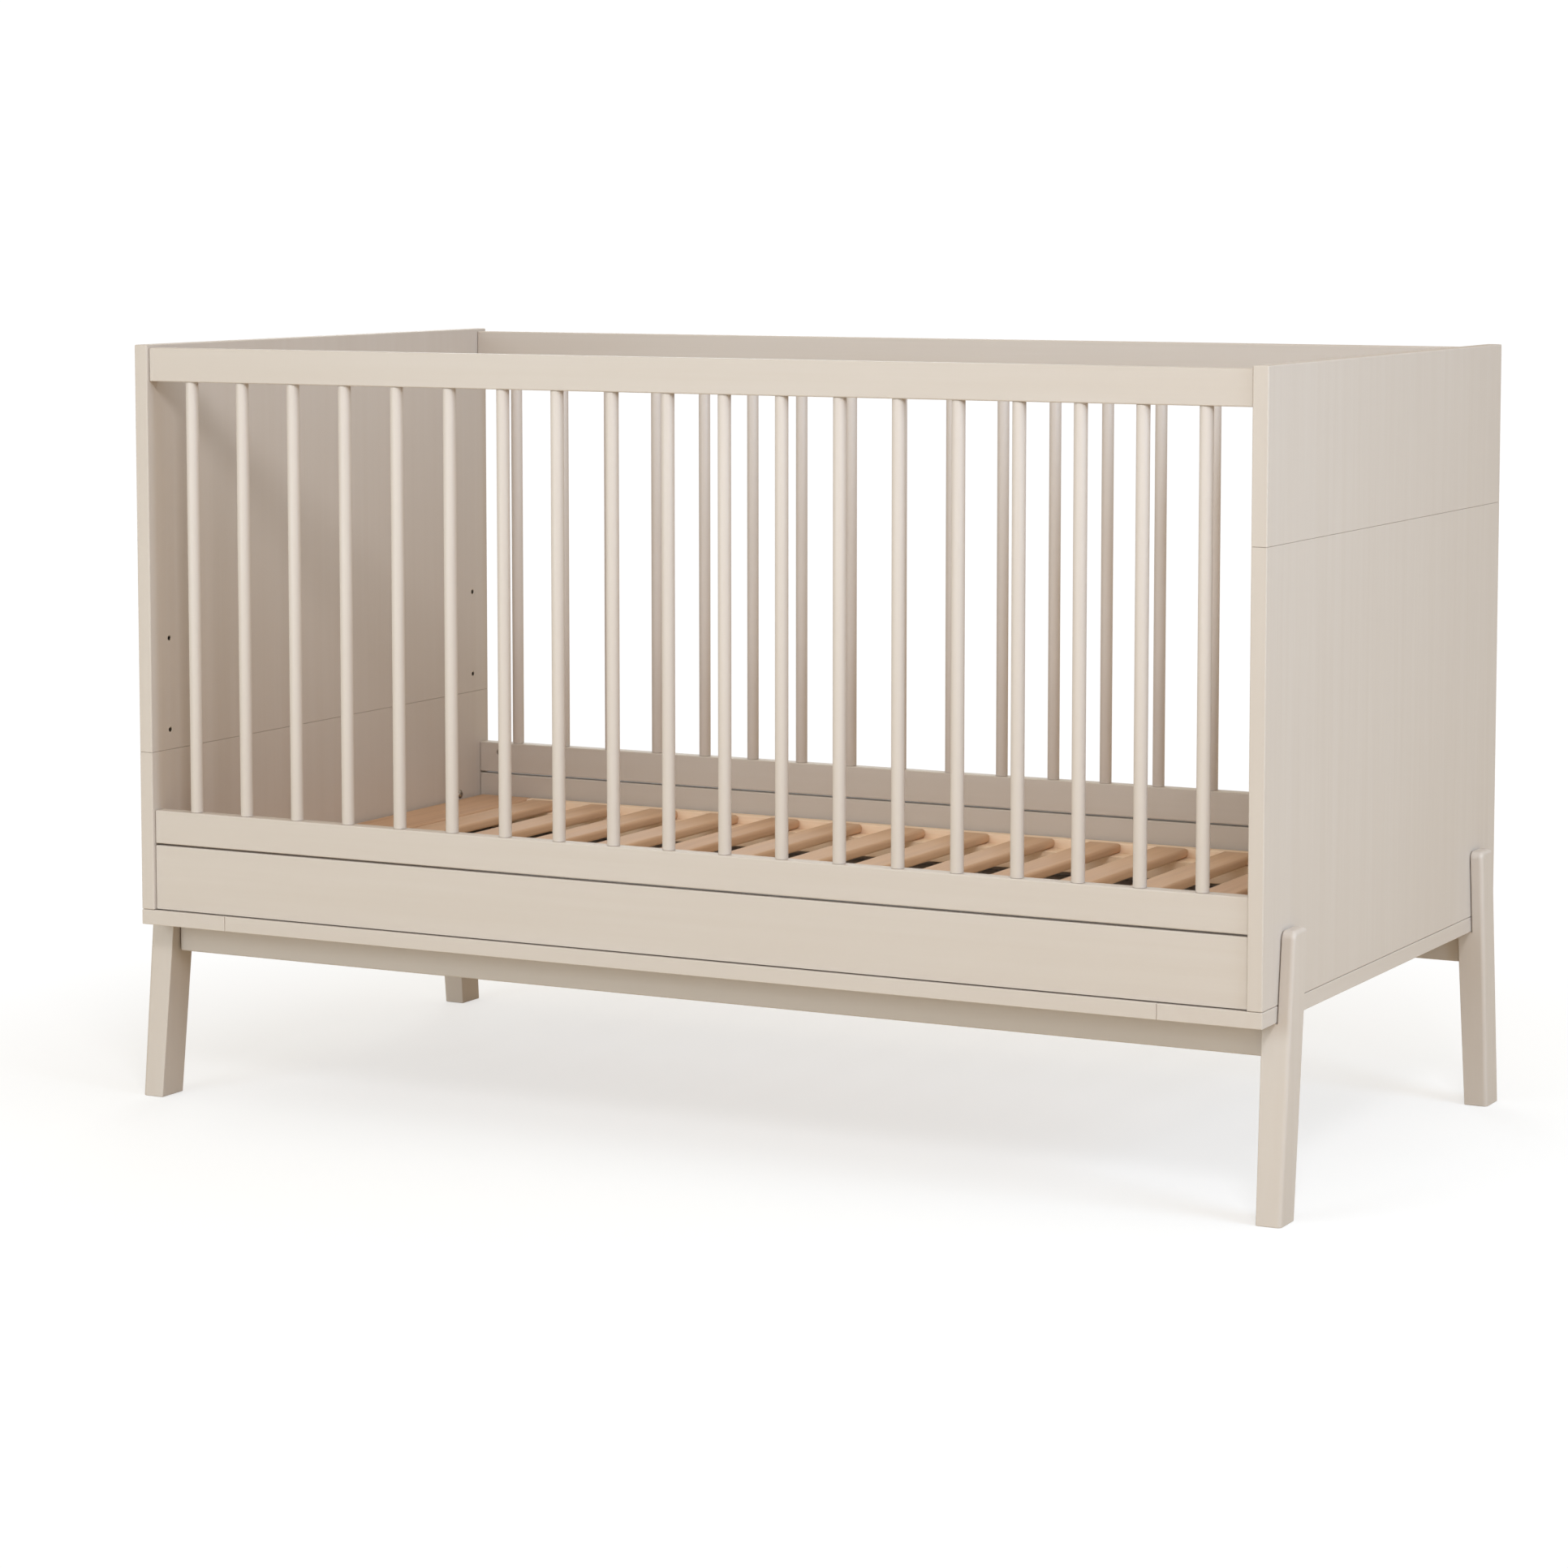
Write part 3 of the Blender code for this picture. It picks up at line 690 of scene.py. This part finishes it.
def bare_pine(name, along, early, late, pale):
    """Unfinished pine with early and late wood; a piece's tone sets its place in the tree."""
    finish = bpy.data.materials.new(name)
    finish.use_nodes = True
    tree = finish.node_tree
    shader = tree.nodes["Principled BSDF"]
    tone = tree.nodes.new("ShaderNodeAttribute")
    tone.attribute_name = "tone"
    place = tree.nodes.new("ShaderNodeTexCoord")
    turn = tree.nodes.new("ShaderNodeMapping")
    turn.inputs["Scale"].default_value = stretched(along, *RINGS)
    tree.links.new(place.outputs["Object"], turn.inputs["Vector"])
    shift = tree.nodes.new("ShaderNodeVectorMath")
    shift.operation = "ADD"
    tree.links.new(turn.outputs["Vector"], shift.inputs[0])
    tree.links.new(tone.outputs["Vector"], shift.inputs[1])
    rings = tree.nodes.new("ShaderNodeTexNoise")
    rings.inputs["Scale"].default_value = 1.0
    rings.inputs["Detail"].default_value = 4.0
    rings.inputs["Distortion"].default_value = RINGS_BEND
    tree.links.new(shift.outputs["Vector"], rings.inputs["Vector"])
    ring = rings.outputs["Fac"]
    fibres = grain_noise(tree, stretched(along, *PINE_FIBRES), detail=3.0)
    colour = blended(tree, spread(tree, ring, *LATE_WOOD, 0.0, RINGS_SHARE), early, late)
    paler = spread(tree, tone.outputs["Fac"], 0.0, 1.0, 0.0, PALE_SHARE)
    colour = blended(tree, paler, colour, pale)
    colour = blended(tree, spread(tree, fibres, *LATE_FIBRE, 0.0, FIBRES_SHARE), colour, late)
    tree.links.new(colour, shader.inputs["Base Color"])
    tree.links.new(spread(tree, ring, *WIDE, *PLANED), shader.inputs["Roughness"])
    relief = raised(tree, fibres, *PLANED_RELIEF)
    tree.links.new(raised(tree, ring, *RINGS_RELIEF, relief), shader.inputs["Normal"])
    return finish


def cut_from(piece, tone):
    """Records which part of the tree a piece was cut from, for its grain and shade."""
    field = piece.data.attributes.new("tone", "FLOAT_VECTOR", "POINT")
    for point in field.data:
        point.vector = [tone * shift for shift in GRAIN_SHIFT]


def slat(low, high):
    """A slat with its long edges rounded over and the edges of its ends marked to be sanded."""
    shape = board(low, high)
    ease = shape.edges.layers.float["bevel_weight_edge"]
    long_edges = [e for e in shape.edges if abs(e.verts[0].co.y - e.verts[1].co.y) > END_WIDTH]
    for edge in long_edges:
        edge[ease] = 0
    rounded(shape, long_edges, SLAT_ROUND, SLAT_ROUND_STEPS)
    for edge in shape.edges:
        edge[ease] = 1 if abs(edge.verts[0].co.y - edge.verts[1].co.y) < SAME else 0
    return shape


def bearer(low, high, lip_half, lip_top):
    """A side bearer with its middle stretch raised into a lip, its outer corners marked."""
    shape = board(low, high)
    for x in (-lip_half, lip_half):
        everything = shape.verts[:] + shape.edges[:] + shape.faces[:]
        bmesh.ops.bisect_plane(shape, geom=everything, plane_co=(x, 0, 0), plane_no=(1, 0, 0))
    shape.normal_update()
    tops = [f for f in shape.faces if f.normal.z > FACING]
    lip = [f for f in tops if abs(f.calc_center_median().x) < lip_half]
    lip = bmesh.ops.extrude_discrete_faces(shape, faces=lip)["faces"][0]
    bmesh.ops.translate(shape, verts=lip.verts, vec=(0, 0, lip_top - high[2]))
    shape.normal_update()
    ease = shape.edges.layers.float["bevel_weight_edge"]
    for edge in shape.edges:
        turn = edge.calc_face_angle_signed()
        edge[ease] = 1 if turn > SQUARE else 0
        edge.smooth = turn > -SQUARE
    return shape


pine = bare_pine("bare_pine", "Y", PINE, PINE_LATE, PINE_PALE)
sapwood = bare_pine("bare_pine_sapwood", "X", SAPWOOD, SAPWOOD_LATE, SAPWOOD_PALE)
base_low, base_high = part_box("slat_base")
under = base_high.z - SLAT_THICK
inside = BEARER_OUTER_Y - BEARER_THICK
slat_places = [(i - (SLAT_COUNT - 1) / 2) * SLAT_PITCH for i in range(SLAT_COUNT)]
slats = [(x, SLAT_WIDTH, inside - JOINT) for x in slat_places]
end_middle = base_high.x - END_WIDTH / 2
ends = [(x, END_WIDTH, BEARER_OUTER_Y) for x in (-end_middle, end_middle)]
for number, (x, width, half) in enumerate([ends[0], *slats, ends[1]]):
    strip = slat((x - width / 2, -half, under), (x + width / 2, half, base_high.z))
    piece = fit(f"slat_{number:02}", strip, pine, ["slat_base"], "mattress_base", SLAT_EASE)
    cut_from(piece, (number * TONE_STEP) % 1)

lip_half = base_high.x - END_WIDTH - JOINT
for side, side_y in (("front", -1), ("rear", 1)):
    near, far = sorted((side_y * BEARER_OUTER_Y, side_y * inside))
    corners = (-BEARER_HALF, near, base_low.z), (BEARER_HALF, far, under - JOINT)
    shape = bearer(*corners, lip_half, base_high.z)
    piece = fit(f"bearer_{side}", shape, sapwood, ["slat_base"], "mattress_base", SLAT_EASE)
    cut_from(piece, BEARER_TONE[side])

    near, far = sorted((side_y * (inside - JOINT), side_y * (inside - LEDGE_WIDE)))
    shape = board((-BEARER_HALF, near, base_low.z), (BEARER_HALF, far, under - JOINT))
    piece = fit(f"ledge_{side}", shape, sapwood, ["slat_base"], "mattress_base", SLAT_EASE)
    cut_from(piece, LEDGE_TONE[side])


# ---- Support pins ----------------------------------------------------------------------------
# Zinc-plated steel pins, screwed into the lowest inserts. The end boards of the mattress base
# lie on their round heads.
PIN_SHANK = 0.003
PIN_HEAD = 0.008  # length of the head
PIN_NECK_SOFT = 0.0008  # rounding towards the panel
PIN_END_SOFT = 0.0012  # rounding of the free end
PIN_STEPS = 32

for end, side_x in (("foot", -1), ("head", 1)):
    for side in ("front", "rear"):
        node = f"support_pin_{end}_{side}"
        low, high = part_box(node)
        middle = (low + high) / 2
        radius = (high.z - low.z) / 2
        length = high.x - low.x
        outline = (
            (0, 0),
            (PIN_SHANK, 0),
            (PIN_SHANK, length - PIN_HEAD),
            (radius - PIN_NECK_SOFT, length - PIN_HEAD),
            (radius, length - PIN_HEAD + PIN_NECK_SOFT),
            (radius, length - PIN_END_SOFT),
            (radius - PIN_END_SOFT, length),
            (0, length),
        )
        start = (side_x * max(abs(low.x), abs(high.x)), middle.y, middle.z)
        pin = turned(outline, start, (-side_x, 0, 0), PIN_STEPS)
        fit(f"steel_{node}", pin, zinc, [node])


# ---- Studio ----------------------------------------------------------------------------------
# A white sweep that glows by itself, less so under the crib, a key softbox to the right and front,
# wide cooler ones in front, beside and behind, and a dim warm room. The camera stands low in front
# of the head end.
CAMERA_PLACE = (2.3172, -4.5362, 1.0795)
CAMERA_TURN = 27.532  # degrees round the bed, from straight in front
CAMERA_DIP = 5.248  # degrees below level
CAMERA_LENS = 97.85
CAMERA_SENSOR = 36.0
CAMERA_SHIFT = -0.120
ROOM_STRENGTH = (0.38, 0.80)  # level with the crib, and from above
ROOM_RISE = (0.0, 0.9)  # sines of the heights between which it grows, and the tint changes
ROOM_TINT_RISE = (0.0, 0.7)
ROOM_HIGH_TINT = (1.0, 0.86, 0.66)
ROOM_LOW_TINT = (1.0, 0.95, 0.92)
ROOM_SHOWN = 1.05
FLOOR_RADIUS = 40.0
FLOOR_STEPS = 96
BOUNCE = (0.64, 0.55, 0.42)  # the floor's colour in the light that it throws back
PALE = (0.955, 0.975, 1.0)  # and as it is seen
GLOW = 1.03
GLOW_SHARE = (0.55, 1.0)  # of the floor's looks, under the crib and away from it
GLOW_REACH = (0.80, 1.45)  # metres from the middle where the first ends and the second starts

floor_shape = bmesh.new()
bmesh.ops.create_circle(floor_shape, cap_ends=True, segments=FLOOR_STEPS, radius=FLOOR_RADIUS)
floor_mesh = bpy.data.meshes.new("floor")
floor_shape.to_mesh(floor_mesh)
floor_shape.free()
floor = bpy.data.objects.new("floor", floor_mesh)
bpy.context.scene.collection.objects.link(floor)
sweep = bpy.data.materials.new("white_sweep")
sweep.use_nodes = True
tree = sweep.node_tree
tree.nodes.clear()
matt = tree.nodes.new("ShaderNodeBsdfDiffuse")
glow = tree.nodes.new("ShaderNodeEmission")
place = tree.nodes.new("ShaderNodeTexCoord")
reach = tree.nodes.new("ShaderNodeVectorMath")
seen = tree.nodes.new("ShaderNodeLightPath")
share = tree.nodes.new("ShaderNodeMath")
lit = tree.nodes.new("ShaderNodeMixShader")
out = tree.nodes.new("ShaderNodeOutputMaterial")
tree.links.new(blended(tree, seen.outputs["Is Camera Ray"], BOUNCE, PALE), matt.inputs["Color"])
glow.inputs["Color"].default_value = (1, 1, 1, 1)
glow.inputs["Strength"].default_value = GLOW
reach.operation = "LENGTH"
share.operation = "MULTIPLY"
tree.links.new(place.outputs["Object"], reach.inputs[0])
tree.links.new(spread(tree, reach.outputs["Value"], *GLOW_REACH, *GLOW_SHARE), share.inputs[0])
tree.links.new(seen.outputs["Is Camera Ray"], share.inputs[1])
tree.links.new(share.outputs[0], lit.inputs[0])
tree.links.new(matt.outputs[0], lit.inputs[1])
tree.links.new(glow.outputs[0], lit.inputs[2])
tree.links.new(lit.outputs[0], out.inputs["Surface"])
floor_mesh.materials.append(sweep)
floor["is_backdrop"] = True

world = bpy.data.worlds.new("white_room")
bpy.context.scene.world = world
world.use_nodes = True
tree = world.node_tree
tree.nodes.clear()
shown = tree.nodes.new("ShaderNodeBackground")
lighting = tree.nodes.new("ShaderNodeBackground")
seen = tree.nodes.new("ShaderNodeLightPath")
place = tree.nodes.new("ShaderNodeTexCoord")
height = tree.nodes.new("ShaderNodeSeparateXYZ")
choice = tree.nodes.new("ShaderNodeMixShader")
out = tree.nodes.new("ShaderNodeOutputWorld")
shown.inputs["Color"].default_value = (1, 1, 1, 1)
shown.inputs["Strength"].default_value = ROOM_SHOWN
tree.links.new(place.outputs["Generated"], height.inputs[0])
strength = spread(tree, height.outputs["Z"], *ROOM_RISE, *ROOM_STRENGTH)
tree.links.new(strength, lighting.inputs["Strength"])
climb = spread(tree, height.outputs["Z"], *ROOM_TINT_RISE, 0.0, 1.0)
tree.links.new(blended(tree, climb, ROOM_LOW_TINT, ROOM_HIGH_TINT), lighting.inputs["Color"])
tree.links.new(seen.outputs["Is Camera Ray"], choice.inputs[0])
tree.links.new(lighting.outputs[0], choice.inputs[1])
tree.links.new(shown.outputs[0], choice.inputs[2])
tree.links.new(choice.outputs[0], out.inputs[0])


def softbox(name, place, target, width, power, colour):
    """A square area light that faces a point."""
    light = bpy.data.lights.new(name, "AREA")
    light.shape = "SQUARE"
    light.size = width
    light.energy = power
    light.color = colour
    lamp = bpy.data.objects.new(name, light)
    lamp.location = place
    lamp.rotation_euler = (Vector(target) - Vector(place)).to_track_quat("-Z", "Y").to_euler()
    bpy.context.scene.collection.objects.link(lamp)


softbox("key_softbox", (2.4, -3.8, 3.35), (0, 0, 0.4), 1.0, 83.0, (0.95, 0.965, 1.0))
softbox("front_softbox", (-1.4, -3.8, 1.1), (-0.2, 0, 0.3), 2.0, 58.0, (0.78, 0.92, 1.0))
softbox("side_softbox", (3.3, -0.7, 1.6), (0.7, 0, 0.6), 1.4, 52.0, (0.62, 0.80, 1.0))
softbox("back_softbox", (-2.6, 4.2, 2.6), (0, 0, 0.45), 2.0, 38.0, (0.86, 0.95, 1.0))

lens = bpy.data.cameras.new("camera")
lens.lens = CAMERA_LENS
lens.sensor_width = CAMERA_SENSOR
lens.shift_y = CAMERA_SHIFT
camera = bpy.data.objects.new("camera", lens)
camera.location = CAMERA_PLACE
camera.rotation_euler = (math.radians(90 - CAMERA_DIP), 0, math.radians(CAMERA_TURN))
bpy.context.scene.collection.objects.link(camera)
bpy.context.scene.camera = camera
bpy.context.scene.view_settings.view_transform = "Standard"

low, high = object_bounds()
